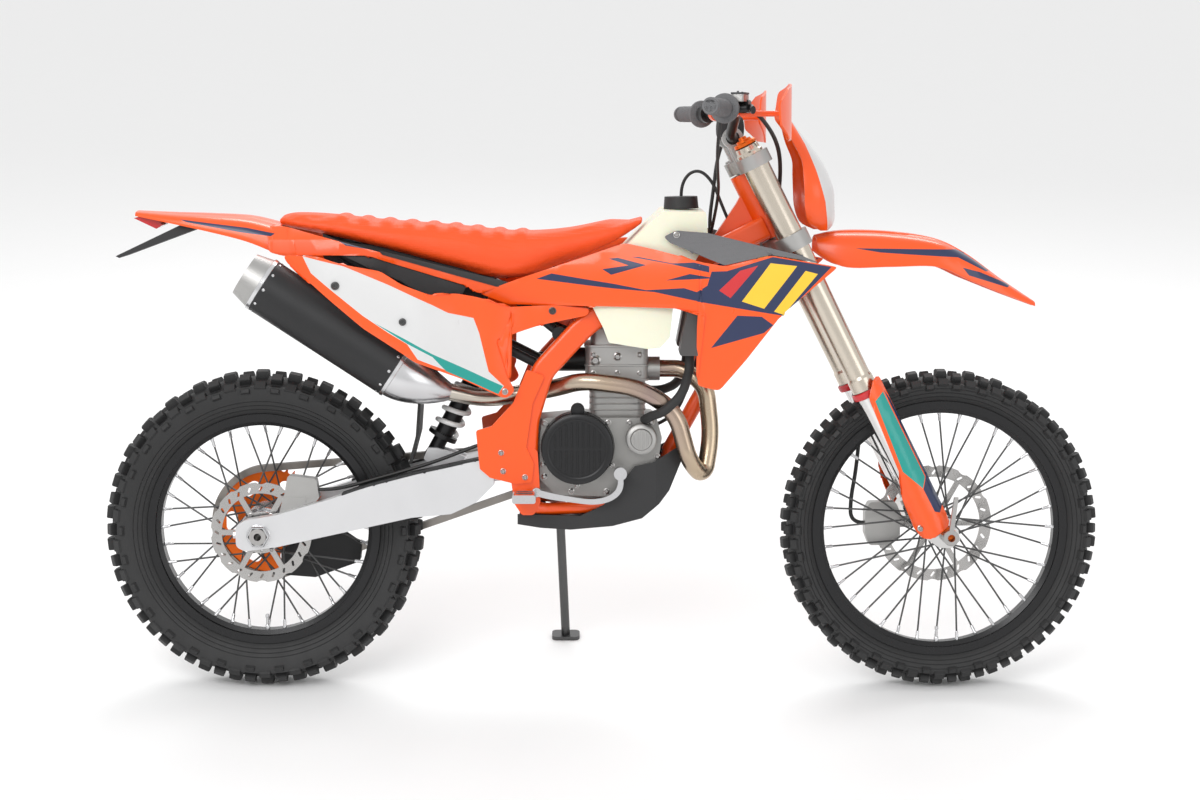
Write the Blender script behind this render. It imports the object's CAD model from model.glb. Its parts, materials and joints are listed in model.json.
# %% [markdown]
# # An enduro motorcycle, dressed in Blender
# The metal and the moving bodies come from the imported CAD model. This notebook gives every
# piece its finish, and swaps the plain shells, the seat and the tyres for detailed ones.

# %% Load the bike
import json
import math

import bmesh
import bpy
from mathutils import Matrix, Vector


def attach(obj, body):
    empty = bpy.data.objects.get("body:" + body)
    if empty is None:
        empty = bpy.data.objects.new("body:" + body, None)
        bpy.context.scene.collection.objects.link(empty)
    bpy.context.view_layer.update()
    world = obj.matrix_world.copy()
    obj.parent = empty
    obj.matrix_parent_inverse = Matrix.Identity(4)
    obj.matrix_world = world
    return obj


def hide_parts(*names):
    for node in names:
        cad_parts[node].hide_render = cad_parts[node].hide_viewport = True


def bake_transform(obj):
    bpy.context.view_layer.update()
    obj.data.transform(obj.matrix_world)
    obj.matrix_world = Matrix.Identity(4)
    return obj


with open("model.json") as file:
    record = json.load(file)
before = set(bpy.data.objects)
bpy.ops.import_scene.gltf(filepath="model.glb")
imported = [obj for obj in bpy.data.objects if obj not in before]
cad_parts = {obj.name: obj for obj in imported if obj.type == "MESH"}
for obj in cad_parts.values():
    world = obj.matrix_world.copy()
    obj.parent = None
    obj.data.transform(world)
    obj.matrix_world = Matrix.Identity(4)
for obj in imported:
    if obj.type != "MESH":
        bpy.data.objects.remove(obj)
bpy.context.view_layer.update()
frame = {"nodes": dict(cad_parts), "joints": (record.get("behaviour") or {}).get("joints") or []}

# %% [markdown]
# A motorcycle is easiest to shape upright, in millimetres, with X forward, Y to the rider's
# left and Z up. Two matrices then carry a shape to where it really stands: `BIKE` leans it
# onto the stand, and `STEERED` also turns it with the handlebar. The rear axle's joint says
# where the bike is, so nothing has to be fitted by eye.

# %% From upright millimetres to the parked bike
WHEELBASE = 1482
AXLE_HEIGHT = 350
LEAN = math.radians(-10)
REST_TURN = math.radians(2.7)
RAKE = math.radians(26.5)
LEGS_AHEAD = 22
AXLE_AHEAD = 43
LEG_SPREAD = 108
axle_of = {joint["name"]: Vector(joint["pos_m"]) for joint in frame["joints"]}
BIKE = (
    Matrix.Translation(axle_of["rear_wheel_spin"])
    @ Matrix.Rotation(LEAN, 4, "X")
    @ Matrix.Translation((WHEELBASE / 2000, 0, -AXLE_HEIGHT / 1000))
    @ Matrix.Scale(0.001, 4)
)
FRONT_AXLE = Vector((WHEELBASE / 2, 0, AXLE_HEIGHT))
REAR_AXLE = Vector((-WHEELBASE / 2, 0, AXLE_HEIGHT))
FORK_FORWARD = Vector((math.cos(RAKE), 0, math.sin(RAKE)))
FORK_UP = Vector((-math.sin(RAKE), 0, math.cos(RAKE)))
STEM_FOOT = FRONT_AXLE - FORK_FORWARD * AXLE_AHEAD
TURN = (
    Matrix.Translation(STEM_FOOT)
    @ Matrix.Rotation(REST_TURN, 4, FORK_UP)
    @ Matrix.Translation(-STEM_FOOT)
)
STEERED = BIKE @ TURN
LEFT = Vector((0, 1, 0))
RIGHT = Vector((0, -1, 0))


def on_fork(ahead, left, up):
    """A point given along the fork: ahead of the steering stem, to the left and up it."""
    return STEM_FOOT + FORK_FORWARD * ahead + LEFT * left + FORK_UP * up


def place_of(body):
    """The matrix that carries a shape to the body it rides on."""
    return STEERED if body in ("steering", "front_wheel") else BIKE


print("front axle", BIKE @ FRONT_AXLE)

# %% [markdown]
# The camera looks square at the right side, from a little above the axles, through a mild
# telephoto lens. It leans with the bike, so the bike fills the frame upright. A pale sweep
# of floor and three large soft lights give the even light of a studio.

# %% Camera, floor and lights
FLOOR_REACH = 30


def add_object(name, data):
    """Puts a mesh, curve, lamp or camera into the scene as an object."""
    thing = bpy.data.objects.new(name, data)
    bpy.context.collection.objects.link(thing)
    return thing


camera = add_object("camera", bpy.data.cameras.new("camera"))
camera.data.lens = 71.7
camera.data.sensor_width = 36
camera.data.clip_end = 2 * FLOOR_REACH
eye = BIKE @ Vector((7, -5200, 1256))
aim = BIKE @ Vector((-4, 0, 632))
bike_up = (BIKE.to_3x3() @ Vector((0, 0, 1))).normalized()
back = (eye - aim).normalized()
side = bike_up.cross(back).normalized()
axes = Matrix((side, back.cross(side), back)).transposed().to_4x4()
camera.matrix_world = Matrix.Translation(eye) @ axes
bpy.context.scene.camera = camera

floor_mesh = bpy.data.meshes.new("floor")
floor_corners = [(FLOOR_REACH * x, FLOOR_REACH * y, 0) for x, y in ((-1, -1), (1, -1), (1, 1), (-1, 1))]
floor_mesh.from_pydata(floor_corners, [], [(0, 1, 2, 3)])
floor = add_object("floor", floor_mesh)
world = bpy.data.worlds.new("studio")
world.use_nodes = True
backdrop = world.node_tree.nodes["Background"]
backdrop.inputs["Color"].default_value = (1, 1, 1, 1)
backdrop.inputs["Strength"].default_value = 0.92
bpy.context.scene.world = world
bpy.context.scene.view_settings.view_transform = "Standard"


def soft_light(name, at, to, size, power):
    """A rectangular lamp at one point, facing another."""
    lamp = bpy.data.lights.new(name, "AREA")
    lamp.shape = "RECTANGLE"
    lamp.size, lamp.size_y = size
    lamp.energy = power
    holder = add_object(name, lamp)
    holder.location = at
    way = Vector(to) - Vector(at)
    holder.rotation_euler = way.to_track_quat("-Z", "Y").to_euler()


soft_light("key", (-1.6, -3.2, 3.4), (0, 0, 0.5), (3.0, 1.6), 80)
soft_light("fill", (3.2, -3.0, 1.6), (0.2, 0, 0.6), (2.0, 2.0), 16)
soft_light("rim", (0.4, 2.6, 3.2), (0, 0, 0.7), (3.5, 1.0), 60)

# %% [markdown]
# Most finishes share two effects. `uneven_finish` mottles a colour and its gloss a little,
# the way handling and dust do, and `fine_relief` gives the small height changes of cast,
# moulded or brushed surfaces. Each is a node group with named sockets, built once, so that
# every material uses the same recipe with its own values.

# %% Shared effects as node groups
def new_group(name, inputs, outputs):
    """An empty node group with its sockets, and its two end nodes."""
    tree = bpy.data.node_groups.new(name, "ShaderNodeTree")
    for label, kind, value in inputs:
        socket = tree.interface.new_socket(label, in_out="INPUT", socket_type=kind)
        socket.default_value = value
    for label, kind in outputs:
        tree.interface.new_socket(label, in_out="OUTPUT", socket_type=kind)
    return tree, tree.nodes.new("NodeGroupInput"), tree.nodes.new("NodeGroupOutput")


def maths(tree, operation, first, second):
    """A Math node fed by sockets or plain numbers."""
    node = tree.nodes.new("ShaderNodeMath")
    node.operation = operation
    for socket, value in zip(node.inputs, (first, second)):
        if isinstance(value, (int, float)):
            socket.default_value = value
        else:
            tree.links.new(value, socket)
    return node.outputs[0]


def noise(tree, scale, detail=3.0, stretch=(1, 1, 1)):
    """Noise over the bike's own coordinates, in metres, drawn out along an axis."""
    spot = tree.nodes.new("ShaderNodeTexCoord")
    stretched = tree.nodes.new("ShaderNodeMapping")
    stretched.inputs["Scale"].default_value = stretch
    cloud = tree.nodes.new("ShaderNodeTexNoise")
    cloud.inputs["Detail"].default_value = detail
    tree.links.new(spot.outputs["Object"], stretched.inputs["Vector"])
    tree.links.new(stretched.outputs["Vector"], cloud.inputs["Vector"])
    if isinstance(scale, (int, float)):
        cloud.inputs["Scale"].default_value = scale
    else:
        tree.links.new(scale, cloud.inputs["Scale"])
    return cloud.outputs["Fac"]


uneven, into, out = new_group(
    "uneven_finish",
    [
        ("Colour", "NodeSocketColor", (0.5, 0.5, 0.5, 1)),
        ("Mottle", "NodeSocketFloat", 0.08),
        ("Roughness", "NodeSocketFloat", 0.4),
        ("Smears", "NodeSocketFloat", 0.1),
        ("Patch Scale", "NodeSocketFloat", 9.0),
    ],
    [("Colour", "NodeSocketColor"), ("Roughness", "NodeSocketFloat")],
)
patch = maths(uneven, "SUBTRACT", noise(uneven, into.outputs["Patch Scale"], 5), 0.5)
shade = maths(uneven, "ADD", maths(uneven, "MULTIPLY", patch, into.outputs["Mottle"]), 1.0)
tinted = uneven.nodes.new("ShaderNodeVectorMath")
tinted.operation = "SCALE"
uneven.links.new(into.outputs["Colour"], tinted.inputs["Vector"])
uneven.links.new(shade, tinted.inputs["Scale"])
uneven.links.new(tinted.outputs["Vector"], out.inputs["Colour"])
smear = maths(uneven, "SUBTRACT", noise(uneven, 31.0, 6, (1, 1, 0.3)), 0.5)
dulled = maths(uneven, "MULTIPLY", smear, into.outputs["Smears"])
uneven.links.new(maths(uneven, "ADD", dulled, into.outputs["Roughness"]), out.inputs["Roughness"])

relief, into, out = new_group(
    "fine_relief",
    [
        ("Grain Scale", "NodeSocketFloat", 900.0),
        ("Pits", "NodeSocketFloat", 0.3),
        ("Waves", "NodeSocketFloat", 0.15),
    ],
    [("Height", "NodeSocketFloat")],
)
grains = noise(relief, into.outputs["Grain Scale"], 2)
pits = maths(relief, "MULTIPLY", grains, into.outputs["Pits"])
waves = maths(relief, "MULTIPLY", noise(relief, 45.0, 2), into.outputs["Waves"])
relief.links.new(maths(relief, "ADD", pits, waves), out.inputs["Height"])
print("node groups", [group.name for group in bpy.data.node_groups])

# %% [markdown]
# A finish is then a short line: its colour, how rough and how metallic it is, and how deep
# its grain goes. The Principled shader stays in the material, and everything that is the
# same all over is set on its own sockets.

# %% A maker of finishes
def place_group(tree, group, values):
    """A group node with its sockets set to plain values."""
    node = tree.nodes.new("ShaderNodeGroup")
    node.node_tree = group
    for label, value in values.items():
        node.inputs[label].default_value = value
    return node


def finish(name, colour, roughness, metallic=0.0, mottle=0.1, smears=0.12,
           grain=900, pits=0.3, waves=0.1, depth=0.0004, coat=0.0):
    """A procedural material: uneven colour and gloss over a fine relief."""
    made = bpy.data.materials.new(name)
    made.use_nodes = True
    tree = made.node_tree
    shader = tree.nodes["Principled BSDF"]
    shader.inputs["Metallic"].default_value = metallic
    shader.inputs["Coat Weight"].default_value = coat
    shader.inputs["Coat Roughness"].default_value = 0.12
    surface = place_group(
        tree, uneven,
        {"Colour": (*colour, 1), "Mottle": mottle, "Roughness": roughness, "Smears": smears},
    )
    tree.links.new(surface.outputs["Colour"], shader.inputs["Base Color"])
    tree.links.new(surface.outputs["Roughness"], shader.inputs["Roughness"])
    height = place_group(tree, relief, {"Grain Scale": grain, "Pits": pits, "Waves": waves})
    bump = tree.nodes.new("ShaderNodeBump")
    bump.inputs["Distance"].default_value = depth
    bump.inputs["Strength"].default_value = 0.6
    tree.links.new(height.outputs["Height"], bump.inputs["Height"])
    tree.links.new(bump.outputs["Normal"], shader.inputs["Normal"])
    made.diffuse_color = (*colour, 1)
    return made


def pattern_height(made, kind, scale, depth):
    """Adds a repeating relief under a finish's fine grain: dots, or ribs across an axis."""
    tree = made.node_tree
    spot = tree.nodes.new("ShaderNodeTexCoord")
    if kind == "dots":
        texture = tree.nodes.new("ShaderNodeTexVoronoi")
        texture.inputs["Randomness"].default_value = 0.15
        result = texture.outputs["Distance"]
    else:
        texture = tree.nodes.new("ShaderNodeTexWave")
        texture.bands_direction = kind
        result = texture.outputs["Fac"]
    texture.inputs["Scale"].default_value = scale
    tree.links.new(spot.outputs["Object"], texture.inputs["Vector"])
    bump = tree.nodes.new("ShaderNodeBump")
    bump.inputs["Distance"].default_value = depth
    tree.links.new(result, bump.inputs["Height"])
    under = next(node for node in tree.nodes if node.type == "BUMP" and node != bump)
    tree.links.new(bump.outputs["Normal"], under.inputs["Normal"])


GLOSSY = {"roughness": 0.3, "grain": 2600, "pits": 0.1, "depth": 0.0002, "coat": 0.25}
FILM = {"roughness": 0.3, "depth": 0.0002, "coat": 0.25}
MOULDED = {"grain": 1400, "pits": 1.0, "depth": 0.0005}
COARSE = {"smears": 0.25, "pits": 1.0, "waves": 0.5}
BARE_METAL = {"metallic": 1.0, "depth": 0.0002}

orange_plastic = finish("orange_plastic", (0.86, 0.085, 0.002), mottle=0.05, **GLOSSY)
white_plastic = finish("white_plastic", (0.60, 0.60, 0.60), mottle=0.04, **GLOSSY)
orange_paint = finish("orange_powder_coat", (0.84, 0.08, 0.002), 0.33, mottle=0.06, grain=1500, pits=0.5,
                      depth=0.0003, coat=0.4)
navy_print = finish("navy_print", (0.012, 0.022, 0.075), mottle=0.08, **FILM)
red_print = finish("red_print", (0.55, 0.02, 0.025), mottle=0.08, **FILM)
yellow_print = finish("yellow_print", (0.86, 0.52, 0.03), mottle=0.05, **FILM)
teal_print = finish("teal_print", (0.004, 0.28, 0.24), mottle=0.05, **FILM)
black_plastic = finish("black_plastic", (0.016, 0.016, 0.017), 0.55, mottle=0.25, **MOULDED)
grey_plastic = finish("grey_plastic", (0.055, 0.056, 0.06), 0.5, mottle=0.2, **MOULDED)
black_rubber = finish("black_rubber", (0.018, 0.018, 0.018), 0.7, mottle=0.3, grain=700, pits=0.8)
tyre_rubber = finish("tyre_rubber", (0.016, 0.016, 0.0165), 0.62, mottle=0.5, grain=420, depth=0.0007,
                     **COARSE)
seat_vinyl = finish("seat_vinyl", (0.84, 0.075, 0.004), 0.55, smears=0.2)
pattern_height(seat_vinyl, "dots", 230, 0.0006)
black_sleeve = finish("black_sleeve", (0.016, 0.016, 0.017), 0.8, mottle=0.2, grain=1500, pits=1.2,
                      depth=0.0006)
lamp_glass = finish("lamp_glass", (0.62, 0.64, 0.66), 0.06, metallic=0.35, mottle=0.15, grain=60, waves=1.0,
                    depth=0.002, coat=1.0)
grip_rubber = finish("grip_rubber", (0.14, 0.14, 0.145), 0.75, mottle=0.2)
pattern_height(grip_rubber, "dots", 260, 0.0012)
cable_sleeve = finish("cable_sleeve", (0.012, 0.012, 0.012), 0.45, mottle=0.2)
cast_alloy = finish("cast_alloy", (0.40, 0.395, 0.385), 0.42, metallic=0.9, mottle=0.3, grain=620,
                    depth=0.0006, **COARSE)
case_alloy = finish("case_alloy", (0.30, 0.295, 0.285), 0.45, metallic=0.85, mottle=0.35, grain=520,
                    depth=0.0008, **COARSE)
machined_alloy = finish("machined_alloy", (0.62, 0.62, 0.63), 0.24, mottle=0.08, smears=0.15, **BARE_METAL)
swingarm_alloy = finish("swingarm_alloy", (0.66, 0.66, 0.67), 0.36, metallic=0.75, smears=0.2, pits=0.8)
champagne_alloy = finish("champagne_anodising", (0.60, 0.54, 0.46), 0.26, mottle=0.06, **BARE_METAL)
chrome = finish("hard_chrome", (0.72, 0.71, 0.70), 0.08, metallic=1.0, mottle=0.02, smears=0.05,
                depth=0.00005)
bolt_steel = finish("bolt_steel", (0.45, 0.44, 0.43), 0.3, mottle=0.15, **BARE_METAL)
dark_steel = finish("dark_steel", (0.10, 0.10, 0.10), 0.38, metallic=0.9, mottle=0.3, depth=0.0003)
chain_steel = finish("oiled_chain", (0.28, 0.26, 0.24), 0.33, metallic=1.0, mottle=0.5, smears=0.3,
                     depth=0.0003)
black_anodising = finish("black_anodising", (0.02, 0.02, 0.021), 0.34, metallic=0.5, mottle=0.2, depth=0.0003)
rim_black = finish("rim_black", (0.018, 0.018, 0.019), 0.28, metallic=0.5, mottle=0.15, depth=0.0002)
muffler_black = finish("muffler_black", (0.022, 0.022, 0.023), 0.44, metallic=0.4, mottle=0.35, smears=0.2,
                       grain=1800, pits=0.7, depth=0.0003)
orange_anodising = finish("orange_anodising", (0.75, 0.13, 0.01), 0.3, metallic=0.7, mottle=0.06,
                          depth=0.0002)
spring_white = finish("spring_white", (0.85, 0.85, 0.84), 0.3, mottle=0.05, coat=0.3)
tank_plastic = finish("tank_plastic", (0.76, 0.75, 0.60), 0.38, grain=300, pits=0.5, waves=0.6, depth=0.0006)
tank_shader = tank_plastic.node_tree.nodes["Principled BSDF"]
tank_shader.inputs["Subsurface Weight"].default_value = 0.25
tank_shader.inputs["Subsurface Scale"].default_value = 0.02
red_lens = finish("red_lens", (0.5, 0.008, 0.01), 0.16, coat=0.6)
radiator_core = finish("radiator_core", (0.22, 0.22, 0.22), 0.45, metallic=0.8, mottle=0.3)
pattern_height(radiator_core, "Z", 190, 0.002)
print("finishes", len(bpy.data.materials))

# %% [markdown]
# Ground discs are bright and a little streaky. The exhaust pipe is grey at its far end and
# turns straw, then brown, where the gas is hottest, so its colour follows a ramp along the
# bike. A little noise keeps the borders of the colours from being straight.

# %% Brake discs and the exhaust pipe
COOL_END, HOT_END = -0.45, 0.25
HEAT_STOPS = [(0.45, (0.52, 0.46, 0.38, 1)), (0.72, (0.46, 0.36, 0.27, 1)), (0.86, (0.36, 0.27, 0.24, 1))]
disc_steel = finish("disc_steel", (0.46, 0.45, 0.44), 0.25, metallic=1.0, smears=0.3)
pipe_steel = finish("pipe_steel", (0.5, 0.44, 0.36), 0.24, metallic=1.0, smears=0.2)
tree = pipe_steel.node_tree
spot = tree.nodes.new("ShaderNodeTexCoord")
parted = tree.nodes.new("ShaderNodeSeparateXYZ")
tree.links.new(spot.outputs["Object"], parted.inputs[0])
along = tree.nodes.new("ShaderNodeMapRange")
along.inputs["From Min"].default_value = COOL_END
along.inputs["From Max"].default_value = HOT_END
tree.links.new(parted.outputs["X"], along.inputs["Value"])
wavering = maths(tree, "ADD", along.outputs[0], maths(tree, "MULTIPLY", noise(tree, 14.0), 0.12))
heat = tree.nodes.new("ShaderNodeValToRGB")
stops = heat.color_ramp.elements
stops[0].position, stops[0].color = 0.0, (0.5, 0.48, 0.45, 1)
stops[1].position, stops[1].color = 1.0, (0.50, 0.40, 0.29, 1)
for position, colour in HEAT_STOPS:
    stops.new(position).color = colour
tree.links.new(wavering, heat.inputs["Fac"])
tree.links.new(heat.outputs["Color"], tree.nodes["Principled BSDF"].inputs["Base Color"])

floor_mesh.materials.append(finish("studio_floor", (0.9, 0.9, 0.9), 0.6, mottle=0.01, waves=0, pits=0))

# %% [markdown]
# The CAD nodes that stay keep their own shape and only take a finish. A table from finish
# to nodes dresses them all in one go.

# %% Dress the CAD nodes
DRESS = [
    (orange_paint, "frame"),
    (orange_plastic, "frame_guards side_panels tank_shrouds rear_fender front_fender"),
    (orange_plastic, "hand_guards fork_guards"),
    (white_plastic, "headlight_mask"),
    (tank_plastic, "fuel_tank"),
    (black_plastic, "chain_guide fuel_cap plate_bracket airbox skid_plate"),
    (case_alloy, "crankcase clutch_cover"),
    (cast_alloy, "cylinder triple_clamps front_brake_caliper rear_brake_caliper"),
    (machined_alloy, "foot_controls front_hub rear_hub"),
    (swingarm_alloy, "swingarm"),
    (champagne_alloy, "fork_tubes"),
    (chrome, "fork_legs"),
    (bolt_steel, "front_axle rear_axle"),
    (dark_steel, "front_sprocket front_spokes rear_spokes side_stand"),
    (disc_steel, "front_brake_disc rear_brake_disc"),
    (pipe_steel, "exhaust_header"),
    (chain_steel, "drive_chain"),
    (muffler_black, "silencer"),
    (rim_black, "front_rim rear_rim"),
    (orange_anodising, "rear_sprocket"),
    (black_anodising, "shock_absorber subframe handlebar bar_levers throttle_body rear_master_cylinder"),
    (spring_white, "shock_spring"),
    (radiator_core, "radiators"),
    (red_lens, "tail_light"),
    (grip_rubber, "grips"),
    (tyre_rubber, "front_tyre rear_tyre"),
    (black_rubber, "seat mud_flap radiator_hoses"),
    (cable_sleeve, "throttle_cable clutch_hose front_brake_hose rear_brake_hose"),
]
made_for = {name: made for made, names in DRESS for name in names.split()}
for name, node in frame["nodes"].items():
    node.data.materials.clear()
    node.data.materials.append(made_for[name])
print("dressed", len(made_for), "nodes of", len(frame["nodes"]))

# %% [markdown]
# Every shape is drawn with `bmesh` in upright millimetres. `piece` turns it into an object:
# it carries the mesh to the parked bike, shades it smooth except at real edges, and lets it
# ride on the body it is bolted to.

# %% Turning a shape into a piece
def add_modifier(thing, kind, **settings):
    """A modifier with its settings given by name."""
    modifier = thing.modifiers.new(kind.lower(), kind)
    for setting, value in settings.items():
        setattr(modifier, setting, value)
    return modifier


def piece(name, shape, finishes, body="chassis", edge=0.0, wall=0.0, sharp=35):
    """shape is a bmesh in millimetres; edge rounds its edges and wall thickens a sheet inwards."""
    if not wall:
        bmesh.ops.recalc_face_normals(shape, faces=shape.faces)
    mesh = bpy.data.meshes.new(name)
    shape.to_mesh(mesh)
    shape.free()
    mesh.transform(place_of(body))
    for made in finishes if isinstance(finishes, (list, tuple)) else [finishes]:
        mesh.materials.append(made)
    mesh.shade_smooth()
    mesh.set_sharp_from_angle(angle=math.radians(sharp))
    thing = add_object(name, mesh)
    if wall:
        add_modifier(thing, "SOLIDIFY", thickness=wall / 1000, offset=-1)
    if edge:
        add_modifier(thing, "BEVEL", width=edge / 1000, segments=2, angle_limit=math.radians(40),
                     limit_method="ANGLE", harden_normals=False)
    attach(thing, body)
    return thing


def frame_along(at, way):
    """A matrix whose Z points along way, with its origin at a point."""
    turn = Vector(way).to_track_quat("Z", "Y").to_matrix().to_4x4()
    return Matrix.Translation(at) @ turn


def around(count, radius, start=0.0):
    """The (x, y) points of a circle, from a share of a step onwards."""
    turns = [math.tau * (k + start) / count for k in range(count)]
    return [(radius * math.cos(turn), radius * math.sin(turn)) for turn in turns]


def lathe(shape, profile, at, way, steps=32):
    """Turns (radius, height) pairs about an axis; a radius of nought closes the end."""
    place = frame_along(at, way)
    rings = []
    for radius, height in profile:
        spots = around(steps, radius) if radius >= 0.01 else [(0, 0)]
        rings.append([shape.verts.new(place @ Vector((x, y, height))) for x, y in spots])
    for low, high in zip(rings, rings[1:]):
        for k in range(steps):
            corners = (low[k % len(low)], low[(k + 1) % len(low)],
                       high[(k + 1) % len(high)], high[k % len(high)])
            corners = list(dict.fromkeys(corners))
            if len(corners) > 2:
                shape.faces.new(corners)


def skin(shape, rings, closed=True):
    """Joins rings of equal length with four-sided faces."""
    for low, high in zip(rings, rings[1:]):
        for k in range(len(low) if closed else len(low) - 1):
            n = (k + 1) % len(low)
            shape.faces.new((low[k], low[n], high[n], high[k]))


def prism(shape, outline, place, depth):
    """A flat outline pushed out along its own Z."""
    low = [shape.verts.new(place @ Vector((x, y, 0))) for x, y in outline]
    high = [shape.verts.new(place @ Vector((x, y, depth))) for x, y in outline]
    shape.faces.new(list(reversed(low)))
    shape.faces.new(high)
    skin(shape, [low, high])


def face_towards(shape, way):
    """Turns an open sheet's faces so that most of them look one way."""
    bmesh.ops.recalc_face_normals(shape, faces=shape.faces)
    if sum(face.normal.dot(way) * face.calc_area() for face in shape.faces) < 0:
        bmesh.ops.reverse_faces(shape, faces=shape.faces)


def bolt(shape, at, way, radius):
    """A flanged bolt: washer face, domed head and a hexagonal socket."""
    lathe(shape, [(0, 0), (radius, 0), (radius, 0.16 * radius), (0.72 * radius, 0.3 * radius),
                  (0.68 * radius, 0.72 * radius), (0.56 * radius, 0.86 * radius)], at, way, 18)
    lathe(shape, [(0.56 * radius, 0.86 * radius), (0.36 * radius, 0.86 * radius),
                  (0.34 * radius, 0.4 * radius), (0, 0.4 * radius)], at, way, 6)


def bolts(name, spots, made, body="chassis"):
    """Bolts given as (place, way out, radius), made as one piece."""
    shape = bmesh.new()
    for at, way, radius in spots:
        bolt(shape, at, way, radius)
    return piece(name, shape, made, body, sharp=50)


def hose(name, points, radius, made, body):
    """A bent tube through control points: a NURBS spline with a round bevel."""
    curve = bpy.data.curves.new(name, "CURVE")
    curve.dimensions = "3D"
    curve.bevel_depth = radius / 1000
    curve.bevel_resolution = 4
    curve.use_fill_caps = True
    spline = curve.splines.new("NURBS")
    spline.points.add(len(points) - 1)
    place = place_of(body)
    for spot, point in zip(spline.points, points):
        spot.co = (*(place @ Vector(point)), 1)
    spline.order_u = 3
    spline.use_endpoint_u = True
    spline.resolution_u = 8
    curve.materials.append(made)
    thing = add_object(name, curve)
    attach(thing, body)
    return thing


print("a circle of six points:", [(round(x, 2), round(y, 2)) for x, y in around(6, 1)])

# %% [markdown]
# Off-road tyres stand on rubber blocks. A smooth casing is turned first, and blocks are
# then laid round it row by row: a pair in the middle, a pair beside them and a shoulder
# block at each edge, with gaps between that shed mud. Each block is a tapered slab whose
# top follows the tyre's crown.

# %% Tyres
KNOB_HEIGHT = 15
KNOB_TOP = [(-1, -1), (-0.35, -1), (0.35, -1), (1, -1), (1, 0),
            (1, 1), (0.35, 1), (-0.35, 1), (-1, 1), (-1, 0)]


def tyre_point(axle, outer, half, across, turn, lift):
    """A point over the tread: across is the distance along the crown, in millimetres."""
    bend = across / (half * 1.22)
    crown = outer - KNOB_HEIGHT - half * 0.78 * (1 - math.cos(bend * 1.35))
    radius = crown + lift * math.cos(bend * 1.1)
    y = half * 0.985 * math.sin(bend * 1.18) + lift * math.sin(bend * 1.1)
    return axle + Vector((radius * math.sin(turn), y, radius * math.cos(turn)))


def knob(shape, axle, outer, half, across, turn, wide, long, height):
    """One tread block, a little narrower at its top."""
    rings = []
    for lift, scale in ((-3, 1.12), (height - 1.6, 0.97), (height, 0.86)):
        rings.append([
            shape.verts.new(tyre_point(
                axle, outer, half, across + u * wide / 2 * scale, turn + v * long / 2 * scale / outer, lift))
            for u, v in KNOB_TOP
        ])
    skin(shape, rings)
    shape.faces.new(rings[-1])


def tyre(name, axle, outer, half, seat, rim_half, pitches, rows, body):
    """A casing and its blocks; a row is (across, offset, width, length, height)."""
    shape = bmesh.new()
    bead = seat + 16
    low_wall = bead + 3
    shoulder = outer - KNOB_HEIGHT - 11

    def wall_y(share):
        return rim_half + 2 + (half - 4 - rim_half) * math.sin(math.pi * (0.5 * share + 0.02))

    profile = [(seat + 2, rim_half - 5), (bead - 4, rim_half - 4.5), (bead, rim_half - 1),
               (low_wall, rim_half + 2)]
    profile += [(low_wall + (shoulder - low_wall) * k / 10, wall_y(k / 10)) for k in range(1, 10)]
    for across in [half * 1.14 * k / 10 for k in range(10, -1, -1)]:
        at = tyre_point(Vector((0, 0, 0)), outer, half, across, 0, 0)
        if at.z > profile[-1][0]:
            profile.append((at.z, at.y))
    whole = profile + [(radius, -y) for radius, y in reversed(profile)][1:]
    lathe(shape, whole, axle, LEFT, 120)
    for ring in range(3):
        radius = bead + 9 + ring * 9
        y = wall_y((radius - low_wall) / (shoulder - low_wall))
        for side in (1, -1):
            ridge = [(radius - 1.2, y - 0.8), (radius, y + 1.1), (radius + 1.2, y - 0.6)]
            lathe(shape, [(reach, side * out) for reach, out in ridge], axle, LEFT, 120)
    for k in range(pitches):
        for across, offset, wide, long, height in rows:
            turn = math.tau * k / pitches + math.tau * offset / pitches
            for side in (1, -1):
                knob(shape, axle, outer, half, side * across, turn, wide, long, height)
    return piece(name, shape, tyre_rubber, body, sharp=30)


FRONT_ROWS = [(9.5, 0.0, 15, 22, 15), (26, 0.5, 13, 21, 15), (42, 0.0, 14, 24, 14), (51, 0.5, 9, 20, 10)]
REAR_ROWS = [(10, 0.0, 16, 27, 15), (32, 0.5, 18, 25, 15), (53, 0.0, 16, 28, 14), (64, 0.5, 9, 22, 10)]
front_rubber = tyre("front_tread", FRONT_AXLE, 350, 45, 267, 26, 34, FRONT_ROWS, "front_wheel")
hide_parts("front_tyre")
rear_rubber = tyre("rear_tread", REAR_AXLE, 350, 57, 241, 33, 30, REAR_ROWS, "rear_wheel")
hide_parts("rear_tyre")
print("tyre faces", len(front_rubber.data.polygons), len(rear_rubber.data.polygons))

# %% [markdown]
# Spokes end in silver nipples at the rim, and a rubber valve with a cap stands between two
# of them. The valve of each wheel is at the bottom. The nipples' places follow from the
# lacing: half the spokes lean forwards round the hub and half lean back.

# %% Nipples and valves
LACING = ((1, 60, 9, 0), (-1, -60, 3, 1))


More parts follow.
